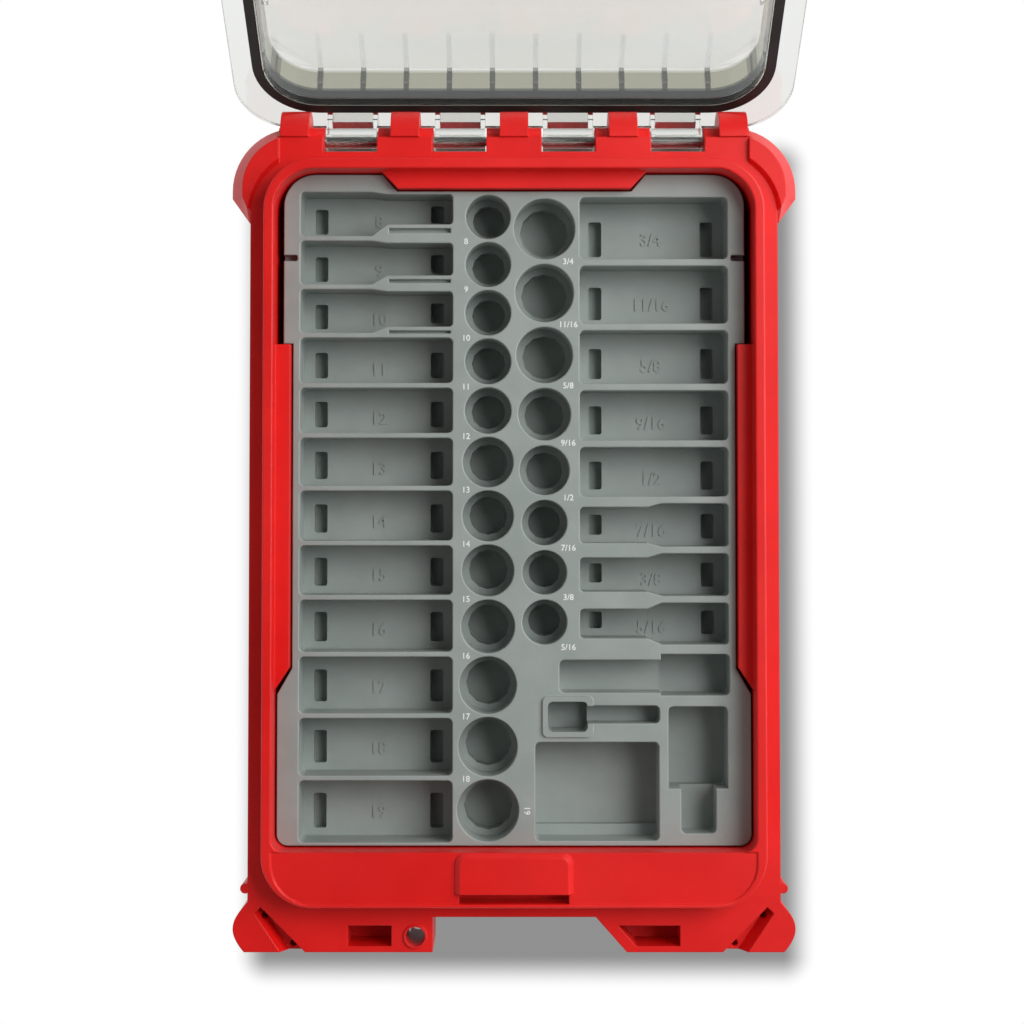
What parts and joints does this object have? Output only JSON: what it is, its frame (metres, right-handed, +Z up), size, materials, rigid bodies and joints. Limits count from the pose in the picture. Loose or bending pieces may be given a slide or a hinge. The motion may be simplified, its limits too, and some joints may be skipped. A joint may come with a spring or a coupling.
{
  "type": "socket organizer box",
  "caption": "Low moulded case with a removable socket tray, a clear hinged lid with a seal, two swing latches and a sprung stacking latch.",
  "frame": {"origin": "centre of the case's underside, between the side walls", "axes": "+Z up, +X to the right seen from the front, -Y the front where the latches close; the lid opens towards +Y"},
  "size_m": [0.25, 0.5861, 0.34],
  "materials": {
    "case_red": "lightly grained moulded plastic",
    "tray_grey": "fine-grained moulded plastic",
    "lid_clear": "clear moulded plastic, glossy",
    "gasket_black": "soft matte rubber",
    "latch_black": "moulded plastic, satin",
    "steel": "bright drawn wire"
  },
  "bodies": {
    "base": {"base_shell": "case_red", "tray_long_wells": "tray_grey", "tray_round_seats": "tray_grey", "tray_cross_wells": "tray_grey", "tray_accessory_bins": "tray_grey", "hinge_rod_left": "steel", "hinge_rod_right": "steel", "stack_cover": "case_red", "stack_screws": "steel", "stack_springs": "steel"},
    "lid": {"lid_shell": "lid_clear", "lid_gasket": "gasket_black", "latch_pin_left": "steel", "latch_pin_right": "steel"},
    "latch_left": {"latch_left": "latch_black"},
    "latch_right": {"latch_right": "latch_black"},
    "stack_slide": {"stack_slide": "latch_black"}
  },
  "joints": [
    {"name": "lid_hinge", "type": "hinge", "parent": "base", "child": "lid", "pos_m": [0, 0.173, 0.023], "axis": [1, 0, 0], "range_deg": [0, 125]},
    {"name": "latch_left_hinge", "type": "hinge", "parent": "lid", "child": "latch_left", "pos_m": [-0.0628, 0.39517, 0.30716], "axis": [1, 0, 0], "range_deg": [0, 60]},
    {"name": "latch_right_hinge", "type": "hinge", "parent": "lid", "child": "latch_right", "pos_m": [0.0628, 0.39517, 0.30716], "axis": [1, 0, 0], "range_deg": [0, 60]},
    {"name": "stack_slide_push", "type": "slide", "parent": "base", "child": "stack_slide", "axis": [0, 1, 0], "range_m": [0, 0.004], "stiffness_N_per_m": 400, "springref_m": -0.001, "deforming": ["stack_springs"]}
  ]
}
